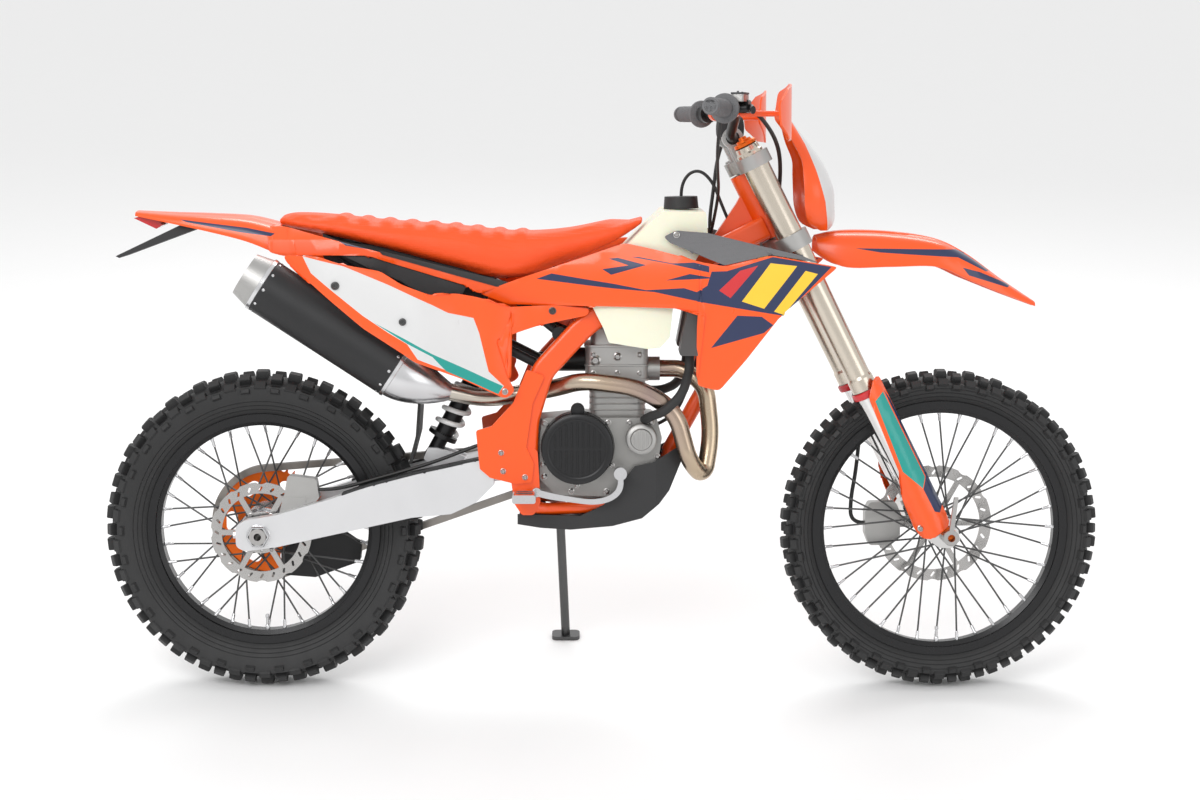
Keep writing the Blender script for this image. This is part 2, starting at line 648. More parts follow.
def nipples(name, axle, well, flange_y, hole, body):
    """Nipples for 36 spokes; well is the rim's inner radius and hole the hub's ring of holes."""
    shape = bmesh.new()
    for outward, lean_round, rim_y, first in LACING:
        for side in (1, -1):
            for number in range(9):
                hub_turn = math.radians((2 * number + first) * 20 + (side - 1) * 5)
                rim_turn = hub_turn + math.radians(lean_round)
                start = axle + Vector((
                    math.sin(hub_turn) * hole, side * (flange_y + outward * 6), math.cos(hub_turn) * hole))
                end = axle + Vector((
                    math.sin(rim_turn) * (well - 1), side * rim_y, math.cos(rim_turn) * (well - 1)))
                lathe(shape, [(0, -1), (4.3, -1), (4.3, 3), (3.5, 4), (3.5, 17), (2.4, 18.5), (2.2, 18.5)],
                      end, (start - end).normalized(), 8)
    foot = axle - Vector((0, 0, well))
    lathe(shape, [(0, -1), (5, -1), (4.6, 8), (2.8, 10), (2.8, 24), (4.2, 25), (4.2, 32), (0, 33)],
          foot, (0, 0, 1), 14)
    return piece(name, shape, machined_alloy, body, sharp=40)


front_ends = nipples("front_nipples", FRONT_AXLE, 254, 33, 31, "front_wheel")
rear_ends = nipples("rear_nipples", REAR_AXLE, 228, 38, 47.6, "rear_wheel")
print("nipple faces", len(front_ends.data.polygons), len(rear_ends.data.polygons))

# %% [markdown]
# The plastic panels are thin mouldings with coloured film on them. Each is drawn flat from
# the side, cut along the borders of its colours, and then pushed out to the bike's plan.
# Cutting first gives crisp borders that need no texture map.

# %% Tools for moulded panels
def inside(x, z, outline):
    """Whether a flat point lies in an outline, by counting the sides to its right."""
    hit = False
    for (ax, az), (bx, bz) in zip(outline, outline[1:] + outline[:1]):
        if (az > z) != (bz > z) and x < ax + (z - az) * (bx - ax) / (bz - az):
            hit = not hit
    return hit


def rounded(outline, radius):
    """Swaps each corner for a short curve, as a mould's corners are."""
    soft = []
    count = len(outline)
    for k, corner in enumerate(outline):
        here = Vector(corner)
        ends = []
        for other in (Vector(outline[k - 1]), Vector(outline[(k + 1) % count])):
            reach = min(radius, 0.4 * (other - here).length)
            ends.append(here + (other - here).normalized() * reach)
        for t in (0, 0.33, 0.67, 1):
            spot = ends[0] * (1 - t) ** 2 + here * 2 * t * (1 - t) + ends[1] * t ** 2
            soft.append((spot.x, spot.y))
    return soft


def between(stations, x):
    """A smooth value read from (place, value) pairs in rising order of place."""
    if x <= stations[0][0]:
        return stations[0][1]
    for (ax, ay), (bx, by) in zip(stations, stations[1:]):
        if x <= bx:
            t = (x - ax) / (bx - ax)
            return ay + (by - ay) * t * t * (3 - 2 * t)
    return stations[-1][1]


def slice_sheet(shape, at, way, faces):
    """Cuts some faces along a plane through a point."""
    edges = {edge for face in faces for edge in face.edges}
    verts = {vert for face in faces for vert in face.verts}
    bmesh.ops.bisect_plane(
        shape, geom=[*faces, *edges, *verts], plane_co=at, plane_no=way, dist=0.02)


def paint_regions(shape, regions):
    """Cuts a sheet along each region's border and gives the faces inside the region's slot."""
    for outline, slot in regions:
        for (ax, az), (bx, bz) in zip(outline, outline[1:] + outline[:1]):
            near = []
            for face in shape.faces:
                xs = [vert.co.x for vert in face.verts]
                zs = [vert.co.z for vert in face.verts]
                if (max(xs) > min(ax, bx) - 0.1 and min(xs) < max(ax, bx) + 0.1
                        and max(zs) > min(az, bz) - 0.1 and min(zs) < max(az, bz) + 0.1):
                    near.append(face)
            if near:
                slice_sheet(shape, (ax, 0, az), (az - bz, 0, bx - ax), near)
    for face in shape.faces:
        centre = face.calc_center_median()
        for outline, slot in regions:
            if inside(centre.x, centre.z, outline):
                face.material_index = slot


def flat_sheet(outline, step_x=16, step_z=26):
    """An outline as a sheet of small faces in the plane Y = 0."""
    shape = bmesh.new()
    shape.faces.new([shape.verts.new((x, 0, z)) for x, z in outline])
    bmesh.ops.triangulate(shape, faces=shape.faces)
    for axis, step in ((0, step_x), (2, step_z)):
        values = [vert.co[axis] for vert in shape.verts]
        for cut in range(math.ceil(min(values) / step), math.ceil(max(values) / step)):
            at, way = [0, 0, 0], [0, 0, 0]
            at[axis], way[axis] = cut * step, 1
            slice_sheet(shape, at, way, list(shape.faces))
    return shape


def panel(name, outline, regions, finishes, out, wall=3.0, body="chassis", corner=10):
    """One moulding a side: out(x, z) is its distance from the bike's middle plane."""
    shape = flat_sheet(rounded(outline, corner))
    paint_regions(shape, regions)
    for vert in shape.verts:
        vert.co.y = -out(vert.co.x, vert.co.z)
    face_towards(shape, RIGHT)
    twin = bmesh.ops.duplicate(shape, geom=[*shape.verts, *shape.edges, *shape.faces])["geom"]
    for vert in (item for item in twin if isinstance(item, bmesh.types.BMVert)):
        vert.co.y = -vert.co.y
    faces = [item for item in twin if isinstance(item, bmesh.types.BMFace)]
    bmesh.ops.reverse_faces(shape, faces=faces)
    return piece(name, shape, finishes, body, edge=1.0, wall=wall, sharp=25)


print("a corner takes", len(rounded([(0, 0), (9, 0), (9, 9)], 2)) // 3, "points")

# %% [markdown]
# The tank shrouds taper from the radiators back under the rider's knees. They fold inwards
# along a crease, lean in above it, and carry long dark stripes and a bright field of slanted
# bars at the front. The pads above them are knobbed grey rubber for the knees.

# %% Tank shrouds
SHROUD_PLAN = [(-270, 112), (-180, 118), (0, 140), (200, 158), (380, 166), (500, 160)]
SHROUD_CREASE = ((85, 884), (380, 828))
LEAN_FROM = 925


def crease_height(x, crease):
    """How high a straight crease, given by two points, runs at x."""
    (ax, az), (bx, bz) = crease
    return az + (bz - az) * (x - ax) / (bx - ax)


def shroud_out(x, z):
    """Below its crease the shroud tucks in, and higher up it leans in."""
    fold = max(0.0, crease_height(x, SHROUD_CREASE) - z)
    lean = max(0.0, z - LEAN_FROM)
    return between(SHROUD_PLAN, x) - 0.10 * fold - 0.16 * lean


SHROUD = [(48, 983), (103, 972), (158, 958), (209, 944), (260, 935), (310, 947), (357, 958), (486, 936),
          (498, 933), (380, 833), (306, 735), (250, 668), (203, 680), (220, 836), (150, 846), (-22, 849),
          (-200, 851), (-262, 874), (-188, 902)]
SHROUD_STRIPES = [
    ([(-139, 906), (-107, 918), (25, 897), (94, 884), (174, 889), (315, 845), (315, 842), (223, 857),
      (112, 880), (25, 887)], 1),
    ([(15, 950), (34, 952), (94, 937), (20, 916), (1, 928), (57, 936)], 1),
    ([(61, 954), (78, 954), (149, 941), (195, 943), (227, 935), (227, 922), (144, 940)], 1),
    ([(135, 905), (186, 919), (241, 910)], 1),
    ([(232, 924), (264, 925), (361, 955), (485, 934), (384, 831), (315, 842), (195, 877), (223, 894)], 1),
    ([(248, 884), (292, 926), (330, 937), (272, 868)], 2),
    ([(296, 861), (356, 942), (412, 936), (343, 846)], 3),
    ([(364, 840), (430, 926), (456, 919), (384, 833)], 3),
    ([(287, 831), (338, 829), (363, 811), (343, 794), (232, 761)], 1),
]
shrouds = panel("shrouds", SHROUD, SHROUD_STRIPES,
                [orange_plastic, navy_print, red_print, yellow_print], shroud_out)
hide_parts("tank_shrouds")

RIB_PITCH = 0.42
KNEE_PAD = [(131, 997), (158, 1010), (223, 1005), (315, 983), (421, 958), (458, 943), (357, 960), (310, 949),
            (260, 937), (227, 950), (190, 966), (144, 984)]


def knee_pad_out(x, z):
    """The pad lies on the shroud and carries small knobs where two sets of ribs cross."""
    rising = max(0.0, math.sin((x * 0.5 + z) * RIB_PITCH))
    falling = max(0.0, math.sin((x * 0.5 - z) * RIB_PITCH))
    ribs = 1.6 * rising * falling
    return shroud_out(x, z) + 0.8 + ribs


pads = panel("knee_pads", KNEE_PAD, [], grip_rubber, knee_pad_out, wall=4, corner=6)
print("shroud faces", len(shrouds.data.polygons), "pads", len(pads.data.polygons))

# %% [markdown]
# The side panels widen backwards over the silencer. Their outer film is white, with a thin
# green band along its lower border; the rim around it and the arm towards the tank keep the
# moulding's own orange.

# %% Side panels
SIDE_PLAN = [(-700, 150), (-560, 190), (-400, 190), (-250, 160), (-140, 134), (0, 130)]
SIDE_PANEL = [(-672, 958), (-666, 943), (-608, 896), (-503, 806), (-420, 752), (-396, 735), (-300, 698),
              (-204, 652), (-184, 668), (-200, 700), (-224, 778), (-130, 808), (-30, 828), (-26, 843),
              (-100, 850), (-196, 847), (-262, 869), (-309, 878), (-361, 875), (-422, 898), (-466, 926),
              (-543, 940), (-600, 957)]
SIDE_CREASE = ((-640, 950), (-208, 690))
SIDE_WHITE = [(-630, 957), (-543, 937), (-450, 898), (-357, 854), (-325, 837), (-272, 825), (-260, 793),
              (-240, 712), (-208, 680), (-220, 664), (-329, 716), (-388, 740), (-410, 773), (-450, 797),
              (-503, 833), (-568, 886), (-612, 922)]
SIDE_GREEN = [(-481, 819), (-410, 781), (-357, 751), (-210, 680), (-220, 663), (-329, 714), (-357, 745),
              (-412, 775)]


def side_out(x, z):
    """The side panel curves in above and below the line where it bulges most."""
    away = min(80.0, z - crease_height(min(x, -208), SIDE_CREASE))
    fold = 0.0011 if away > 0 else 0.0008
    return between(SIDE_PLAN, x) - fold * away * away - 0.05 * max(0.0, away)


side_sheets = panel("side_covers", SIDE_PANEL, [(SIDE_WHITE, 1), (SIDE_GREEN, 2)],
                    [orange_plastic, white_plastic, teal_print], side_out)
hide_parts("side_panels")

# %% [markdown]
# Between the seat and the side panels runs the tail's own moulding: an orange band that
# starts at the rear fender and ends in a point under the rider, a dark strip on its upper
# border, and a black inner guard behind the slot between band and side panel.

# %% Tail bands
TAIL_PLAN = [(-760, 95), (-690, 101), (-600, 104), (-470, 112), (-320, 113), (-200, 108)]
TAIL_BAND = [(-712, 1020), (-669, 1013), (-472, 962), (-440, 955), (-209, 891), (-263, 873),
             (-286, 890), (-465, 944), (-497, 955), (-583, 955), (-640, 955), (-677, 953), (-712, 962)]
TAIL_STRIP = [(-474, 966), (-194, 897), (-222, 888), (-468, 957)]
TAIL_MARKS = [(-560, 985), (-500, 970), (-482, 966), (-545, 976)]
INNER_GUARD = [(-560, 957), (-493, 957), (-465, 946), (-286, 893), (-300, 868), (-360, 862), (-440, 905),
               (-500, 930)]


def tail_out(x, z):
    """The band leans in towards its top, and tucks under the fender at its rear end."""
    lean = 0.04 * (990 - z) if x < -470 else 0
    tuck = 0.018 * max(0.0, z - 975) ** 2 if x < -560 else 0
    return between(TAIL_PLAN, x) + lean - tuck


tail_band = panel("tail_band", TAIL_BAND, [(TAIL_MARKS, 1)], [orange_plastic, navy_print], tail_out)
tail_strip = panel("tail_strip", TAIL_STRIP, [], black_plastic,
                   lambda x, z: tail_out(x, z) + 2, wall=2, corner=3)
inner_guard = panel("inner_guard", INNER_GUARD, [], black_plastic,
                    lambda x, z: tail_out(x, z) - 5, wall=2, corner=4)
tail_pieces = (tail_band, tail_strip, inner_guard)
print("side panel faces", len(side_sheets.data.polygons))
print("tail faces", sum(len(thing.data.polygons) for thing in tail_pieces))

# %% [markdown]
# Fenders are arched sheets. Their stations give half the width and the heights of the edge
# and the crown along the bike; smooth curves run through them, and a rounded shoulder and
# a raised rib on the crown follow along.

# %% Fenders
def through(values, count):
    """Points along a Catmull-Rom curve through a list of equal tuples."""
    padded = [values[0], *values, values[-1]]
    steps = []
    for k in range(count + 1):
        place = k / count * (len(values) - 1)
        n = min(int(place), len(values) - 2)
        t = place - n
        p0, p1, p2, p3 = (Vector(padded[n + i]) for i in range(4))
        steps.append(0.5 * ((2 * p1) + (p2 - p0) * t + (2 * p0 - 5 * p1 + 4 * p2 - p3) * t ** 2
                            + (3 * p1 - p0 - 3 * p2 + p3) * t ** 3))
    return steps


ARCH = [(1.0, 0.0), (0.99, 0.22), (0.95, 0.52), (0.87, 0.74), (0.72, 0.88), (0.5, 0.95), (0.34, 0.985),
        (0.28, 1.04), (0.0, 1.06)]
CROWN_BARE = 18


def fender(name, stations, regions, body):
    """An arched sheet through (x, half width, edge height, crown height) stations."""
    shape = bmesh.new()
    rings = []
    for x, half, low, high in through(stations, 44):
        side = [(half * a, low + (high - low) * b) for a, b in ARCH]
        whole = [(-y, z) for y, z in side] + [(y, z) for y, z in reversed(side[:-1])]
        rings.append([shape.verts.new((x, y, z)) for y, z in whole])
    skin(shape, rings, closed=False)
    face_towards(shape, Vector((0, 0, 1)))
    paint_regions(shape, regions)
    for face in shape.faces:
        if abs(face.calc_center_median().y) < CROWN_BARE and face.material_index:
            face.material_index = 0
    return piece(name, shape, [orange_plastic, navy_print], body, edge=0.8, wall=3, sharp=30)


FRONT_STATIONS = [(462, 42, 958, 992), (520, 56, 926, 1000), (620, 64, 926, 998), (720, 66, 926, 984),
                  (790, 58, 898, 952), (870, 44, 866, 896), (945, 18, 838, 848)]
FRONT_STRIPES = [
    ([(544, 966), (767, 963), (800, 950), (848, 917), (830, 915), (767, 946), (656, 953), (598, 957)], 1),
    ([(777, 924), (816, 914), (888, 885), (879, 880), (791, 907)], 1),
]
front_arch = fender("front_arch", FRONT_STATIONS, FRONT_STRIPES, "steering")
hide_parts("front_fender")
REAR_STATIONS = [(-1006, 40, 1036, 1046), (-930, 64, 1022, 1042), (-850, 82, 1006, 1039),
                 (-760, 93, 984, 1033), (-690, 97, 956, 1016)]
REAR_STRIPES = [([(-905, 1030), (-760, 1013), (-700, 1001), (-700, 994), (-770, 1003), (-890, 1024)], 1)]
rear_arch = fender("rear_arch", REAR_STATIONS, REAR_STRIPES, "chassis")
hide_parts("rear_fender")
print("fender faces", len(front_arch.data.polygons), len(rear_arch.data.polygons))

# %% [markdown]
# A seat is foam under a stretched cover. The foam starts as a smooth loft, a little smaller
# than the finished seat; a cloth simulation with air pressure inside then fills it out. How
# far a point may move is capped, so the seat keeps its line.

# %% Puffing up padded pieces
def puff(thing, cap, pressure=4.0, frames=20):
    """Inflates a closed mesh as cloth and keeps each point within cap metres of its start."""
    mesh = thing.data
    start = [vert.co.copy() for vert in mesh.vertices]
    cloth = add_modifier(thing, "CLOTH")
    cloth.settings.use_pressure = True
    cloth.settings.uniform_pressure_force = pressure
    cloth.settings.effector_weights.gravity = 0
    for number in range(1, frames + 1):
        bpy.context.scene.frame_set(number)
    swollen = thing.evaluated_get(bpy.context.evaluated_depsgraph_get()).data
    moved = [vert.co.copy() for vert in swollen.vertices]
    thing.modifiers.remove(cloth)
    bpy.context.scene.frame_set(1)
    for vert, first, last in zip(mesh.vertices, start, moved):
        step = last - first
        vert.co = first + step * min(1.0, cap / max(step.length, 1e-9))


def remeshed(shape, name, voxel=0.006):
    """A closed bmesh in bike millimetres as an object of even small faces, in bike metres."""
    mesh = bpy.data.meshes.new(name)
    shape.to_mesh(mesh)
    shape.free()
    mesh.transform(Matrix.Scale(0.001, 4))
    rough = add_object(name, mesh)
    add_modifier(rough, "REMESH", mode="VOXEL", voxel_size=voxel)
    swept = rough.evaluated_get(bpy.context.evaluated_depsgraph_get())
    even = bpy.data.meshes.new_from_object(swept)
    bpy.data.objects.remove(rough)
    return add_object(name, even)


def settle(thing, made, body, move):
    """Finishes a padded piece: sculpts its points, then carries it to the bike."""
    mesh = thing.data
    for vert in mesh.vertices:
        vert.co = move(vert.co * 1000) / 1000
    mesh.transform(place_of(body) @ Matrix.Scale(1000, 4))
    mesh.materials.clear()
    mesh.materials.append(made)
    mesh.shade_smooth()
    add_modifier(thing, "SUBSURF", levels=1, render_levels=1)
    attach(thing, body)


print("cloth is simulated")

# %% [markdown]
# The seat runs from the tank to the rear fender. Raised ribs cross it where the rider sits
# and stop short of its sides, and a sewn groove follows each upper edge. Both are pushed
# into the points after the simulation, because a remesh would wipe them out.

# %% Seat
SEAT_STATIONS = [(-698, 60, 1024, 1038), (-600, 84, 1004, 1034), (-470, 98, 974, 1021),
                 (-320, 98, 934, 1010), (-190, 88, 905, 998), (-80, 78, 944, 1003), (20, 64, 984, 1023),
                 (88, 42, 1028, 1040)]
SEAT_ROUND = [(0.55, 0.0), (0.86, 0.02), (0.95, 0.16), (0.975, 0.42), (0.95, 0.66), (0.86, 0.84),
              (0.68, 0.94), (0.38, 0.99), (0.0, 1.0)]
SEAT_HALVES = [(x, half) for x, half, low, high in SEAT_STATIONS]
SEAT_TOPS = [(x, high) for x, half, low, high in SEAT_STATIONS]
RIB_FIRST, RIB_LAST, RIB_COUNT, RIB_HIGH, RIB_WIDE = -556, -172, 9, 5.0, 13.0
GROOVE_DEEP, GROOVE_WIDE = 1.6, 3.5


def ring_loft(stations, outline, count):
    """A closed body of rings across the bike, from (x, half width, low, high) stations."""
    shape = bmesh.new()
    rings = []
    for x, half, low, high in through(stations, count):
        side = [(half * a, low + (high - low) * b) for a, b in outline]
        whole = [(0.0, side[0][1]), *side, *[(-y, z) for y, z in reversed(side[:-1])]]
        rings.append([shape.verts.new((x, y, z)) for y, z in whole])
    skin(shape, rings)
    shape.faces.new(rings[0])
    shape.faces.new(list(reversed(rings[-1])))
    bmesh.ops.recalc_face_normals(shape, faces=shape.faces)
    return shape


def seat_detail(point):
    """Ribs across the seat and a sewn groove along each upper edge."""
    half = between(SEAT_HALVES, point.x)
    depth = between(SEAT_TOPS, point.x) - point.z
    if depth > 30 or point.x < -690 or point.x > 80:
        return point
    pitch = (RIB_LAST - RIB_FIRST) / (RIB_COUNT - 1)
    number = min(RIB_COUNT - 1, max(0, round((point.x - RIB_FIRST) / pitch)))
    nearest = RIB_FIRST + pitch * number
    from_rib = abs(point.x - nearest) / RIB_WIDE
    rise = RIB_HIGH * max(0.0, 1 - from_rib ** 4) if from_rib < 1 else 0.0
    rise *= min(1.0, max(0.0, (0.80 - abs(point.y) / half) * 9))
    groove = max(0.0, 1 - abs(abs(point.y) / half - 0.86) * half / GROOVE_WIDE)
    return point + Vector((0, 0, rise - GROOVE_DEEP * groove))


seat_skin = remeshed(ring_loft(SEAT_STATIONS, SEAT_ROUND, 60), "seat_cover")
puff(seat_skin, cap=0.006)
settle(seat_skin, seat_vinyl, "chassis", seat_detail)
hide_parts("seat")
print("seat points", len(seat_skin.data.vertices))

# %% [markdown]
# A foam pad in a black sleeve sits on the handlebar's clamps, to soften a knock. It is made
# the way the seat is: a loft, the simulation, then a groove round it where the sleeve closes.

# %% Bar pad
PAD_HALF = [(20, 28, -25, 30), (54, 26, -23, 27), (62, 16, -16, 18)]
PAD_STATIONS = [(-across, *rest) for across, *rest in reversed(PAD_HALF)] + PAD_HALF
PAD_RISE, PAD_SEAM = 22, 40
BAR_CLAMP = on_fork(LEGS_AHEAD - 14, 0, 894 + 34 + 42)
pad_shape = ring_loft(PAD_STATIONS, SEAT_ROUND, 24)
for vert in pad_shape.verts:
    vert.co = BAR_CLAMP + Vector((vert.co.y, vert.co.x, vert.co.z + PAD_RISE))
bar_pad = remeshed(pad_shape, "bar_pad", 0.005)
puff(bar_pad, cap=0.003)


def sleeve_groove(point):
    """Draws the pad in a little round each seam."""
    away = abs(abs(point.y) - PAD_SEAM)
    core = BAR_CLAMP + Vector((0, point.y, PAD_RISE))
    return point.lerp(core, 0.06 * max(0.0, 1 - away / GROOVE_WIDE))


settle(bar_pad, black_sleeve, "steering", sleeve_groove)
print("bar pad points", len(bar_pad.data.vertices))

# %% [markdown]
# The headlight mask is one shell in front of the fork: white in the middle, orange at the
# sides, with a lens let into it. It is built row by row, each row half an ellipse between
# the two side edges.

# %% Headlight mask
MASK_ROWS = [  # height, side edge, front, half the width
    (1004, 468, 490, 58), (1020, 440, 503, 82), (1053, 429, 505, 98), (1090, 427, 502, 105),
    (1125, 425, 489, 100), (1157, 422, 472, 88), (1197, 404, 442, 68), (1232, 393, 415, 48),
    (1250, 391, 403, 34),
]
MASK_WHITE = [(432, 1190), (454, 1131), (474, 1066), (486, 990), (560, 990), (560, 1270), (396, 1270),
              (404, 1244)]
LAMP = [(52 * y, 1066 + 30 * z) for y, z in around(20, 1)]
ROW_STEPS = 32
mask_shape = bmesh.new()
mask_rings = []
for height, side_x, front_x, half in through(MASK_ROWS, 30):
    ring = []
    for k in range(ROW_STEPS + 1):
        turn = math.pi * (k / ROW_STEPS - 0.5)
        ring.append(mask_shape.verts.new((
            side_x + (front_x - side_x) * math.cos(turn) ** 0.7, half * math.sin(turn), height)))
    mask_rings.append(ring)
skin(mask_shape, mask_rings, closed=False)
paint_regions(mask_shape, [(MASK_WHITE, 1)])
for face in mask_shape.faces:
    centre = face.calc_center_median()
    if inside(centre.y, centre.z, LAMP):
        face.material_index = 2
face_towards(mask_shape, Vector((1, 0, 0)))
mask = piece("mask_shell", mask_shape, [orange_plastic, white_plastic, lamp_glass], "steering",
             edge=0.8, wall=3, sharp=40)
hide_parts("headlight_mask")
print("mask faces", len(mask.data.polygons))

# %% [markdown]
# Guards wrap the lower fork legs against stones. Each is a slice of a tube, so its distance
# from the middle plane follows a circle about the leg. A green film covers the middle and a
# dark strip runs down the front edge.

# %% Fork guards
GUARD_Y, GUARD_R = LEG_SPREAD + 4, 39
GUARD = [(573, 690), (587, 698), (597, 678), (741, 390), (741, 374), (700, 346), (683, 346), (667, 366),
         (638, 433), (631, 486), (562, 650)]
GUARD_GREEN = [(594, 664), (576, 644), (637, 492), (681, 456), (687, 480)]
GUARD_NAVY = [(596, 667), (611, 649), (693, 490), (728, 418), (719, 403), (707, 406), (682, 454), (689, 481)]


def guard_out(x, z):
    """The outside of a round tube about the fork leg."""
    ahead = (Vector((x, 0, z)) - STEM_FOOT).dot(FORK_FORWARD) - LEGS_AHEAD
    return GUARD_Y + math.sqrt(max(GUARD_R ** 2 - ahead ** 2, 100))


guards = panel("leg_guards", GUARD, [(GUARD_GREEN, 1), (GUARD_NAVY, 2)],
               [orange_plastic, teal_print, navy_print], guard_out, body="steering", corner=8)
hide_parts("fork_guards")
print("fork guard faces", len(guards.data.polygons))

# %% [markdown]
# Some CAD nodes carry two finishes. Their meshes stay as they are: faces only take another
# of the node's finishes, chosen by where they lie on the upright bike.

# %% Second finishes on CAD nodes
UPRIGHT = BIKE.inverted()


def second_finish(node, made, chosen):
    """Gives the faces of a CAD node whose upright centres are chosen another finish."""
    mesh = frame["nodes"][node].data
    mesh.materials.append(made)
    faces = [face for face in mesh.polygons if chosen(UPRIGHT @ face.center)]
    for face in faces:
        face.material_index = len(mesh.materials) - 1
    print(node, "faces in", made.name, len(faces))


MUFFLER_FRONT = Vector((-437, -124, 707))
MUFFLER_BACK = Vector((-725, -132, 897))
MUFFLER_R = 60
MUFFLER_LENGTH = (MUFFLER_BACK - MUFFLER_FRONT).length
MUFFLER_WAY = (MUFFLER_BACK - MUFFLER_FRONT).normalized()
CLUTCH = Vector((-52, -58, 540))
CLUTCH_R = 82


def along_muffler(point):
    """How far a point lies along the silencer from its front end."""
    return (point - MUFFLER_FRONT).dot(MUFFLER_WAY)


second_finish("silencer", cast_alloy, lambda point: along_muffler(point) > MUFFLER_LENGTH + 1)
second_finish("silencer", machined_alloy, lambda point: along_muffler(point) < -1)
second_finish("clutch_cover", black_anodising,
              lambda point: (point - CLUTCH).xz.length < CLUTCH_R and point.y < CLUTCH.y - 31)

# %% [markdown]
# Hoses and cables are flexible tubes, so each one is a smooth curve with a round bevel. The
# throttle cable and the clutch hose join the handlebar to the engine: their points near the
# bar turn with it, and the rest bends after them, which is what a blend does. The tank's
# vent hose leaves its cap and goes down behind the triple clamps.

# %% Hoses and cables
BAR_END = Vector((200, -402, 1262))
BAR_BEND = Vector((274, -185, 1258))
BOX_END = Vector((286.4, -231.5, 1265))
INBOARD = (BAR_BEND - BAR_END).normalized()
FRONT_HOSE = [
    BOX_END, BOX_END + INBOARD * 22, (330, -165, 1242), (368, -106, 1194), (386, -20, 1140), (390, 66, 1064),
    on_fork(68, 100, 735), on_fork(62, 108, 620), on_fork(57, 110, 524), on_fork(60, 104, 430),
    on_fork(46, 72, 364), on_fork(-10, 68, 262), on_fork(-60, 64, 182), (556, 62, 405), (556, 59, 352),
    (586, 58, 352),
]
REAR_HOSE = [
    (-211, -98, 552), (-252, -98, 552), (-306, -96, 530), (-364, -96, 508), (-424, -96, 490),
    (-482, -96, 474), (-544, -94, 456), (-584, -80, 446), (-613.7, -78, 446),
]
THROTTLE_ROUTE = [
    BAR_END + INBOARD * 134 - Vector((0, 0, 21.3)), (238, -262, 1200), (242, -180, 1136), (250, -84, 1088),
    (240, -30, 1018), (228, -24, 966), (150, -23, 906), (66, -21, 868), (-4, -18, 834), (-36, -14, 808),
    (-40, -9, 785), (-54, -3, 776), (-70, 0, 768), (-74, 0, 749),
]
CLUTCH_ROUTE = [
    (286.4, 231.5, 1265), Vector((286.4, 231.5, 1265)) + INBOARD.reflect(LEFT) * 24, (282, 170, 1222),
    (256, 134, 1160), (246, 82, 1092), (234, 30, 1020), (240, 23, 966), (254, 23, 910), (230, 24, 864),
    (225, 25, 800), (213, 28, 732), (192, 32, 664), (162, 36, 592), (123.3, 36, 575.2),
]
VENT_ROUTE = [(172, 0, 1078), (172, -2, 1100), (188, -8, 1128), (214, -14, 1134), (240, -16, 1108),
              (256, -13, 1068), (272, -8, 1030), (288, 0, 996)]


def across_steering(name, points, radius, node):
    """A cable between the chassis and the bar: it follows the chassis below and the bar above."""
    curve = hose(name + "_line", points, radius, cable_sleeve, "chassis")
    swept = curve.evaluated_get(bpy.context.evaluated_depsgraph_get())
    mesh = bpy.data.meshes.new_from_object(swept)
    mesh.materials.clear()
    mesh.materials.append(cable_sleeve)
    data = curve.data
    bpy.data.objects.remove(curve)
    bpy.data.curves.remove(data)
    cable = add_object(name, mesh)
    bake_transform(cable)
    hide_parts(node)
    return cable


front_line = hose("front_brake_line", FRONT_HOSE, 4.5, cable_sleeve, "steering")
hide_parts("front_brake_hose")
rear_line = hose("rear_brake_line", REAR_HOSE, 4, cable_sleeve, "chassis")
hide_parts("rear_brake_hose")
hose("tank_vent", VENT_ROUTE, 3.5, black_rubber, "chassis")
throttle = across_steering("throttle_line", THROTTLE_ROUTE, 3.5, "throttle_cable")
clutch = across_steering("clutch_line", CLUTCH_ROUTE, 4, "clutch_hose")
print("cable points", len(throttle.data.vertices), len(clutch.data.vertices))

# %% [markdown]
# The engine's covers are castings held by flanged bolts. The black clutch cover carries a
# ring, upright ribs inside it and a filler cap above; the water pump beside it is ribbed too.

# %% Engine covers
COVER_FACE = -58 - 64
CASE_FACE = -58 - 30.3
PUMP_FACE = CASE_FACE - 18
PUMP = Vector((85, 0, 560))


def rib(shape, foot, length, thick, tall):
    """An upright rib on a face to the right, narrower where it stands out."""
    root, tip, back, front = thick / 2, tall[2], tall[0], tall[1]
    outline = [(-root, back), (root, back), (tip, front), (-tip, front)]
    prism(shape, outline, frame_along(foot, (0, 0, 1)), length)


engine = bmesh.new()
lathe(engine, [(76, 0), (76, 3.5), (74, 5), (66, 5), (64, 3), (61, 2.4)],
      (CLUTCH.x, COVER_FACE + 0.5, CLUTCH.z), RIGHT, 64)
for number in range(-4, 5):
    across = number * 12
    reach = math.sqrt(57 ** 2 - across ** 2)
    for low, high in ((-reach, -4), (4, reach)):
        foot = Vector((CLUTCH.x + across, COVER_FACE, CLUTCH.z + low))
        rib(engine, foot, high - low, 3.6, (-2.6, 2.6, 1.2))
lathe(engine, [(15, -8), (15, 4), (13, 6), (8, 6), (8, 9), (0, 9)],
      (CLUTCH.x, COVER_FACE + 20, 623), RIGHT, 24)
piece("clutch_trim", engine, black_anodising, sharp=40)

pump = bmesh.new()
lathe(pump, [(33, 0), (33, 5), (30, 8), (24, 9), (22, 13), (12, 14), (0, 14)],
      (PUMP.x, PUMP_FACE, PUMP.z), RIGHT, 40)
for number in range(-2, 3):
    across = number * 9
    reach = math.sqrt(21 ** 2 - across ** 2)
    foot = Vector((PUMP.x + across, PUMP_FACE - 14, PUMP.z - reach))
    rib(pump, foot, 2 * reach, 4, (-4, 3, 1.4))
piece("pump_trim", pump, cast_alloy, sharp=40)

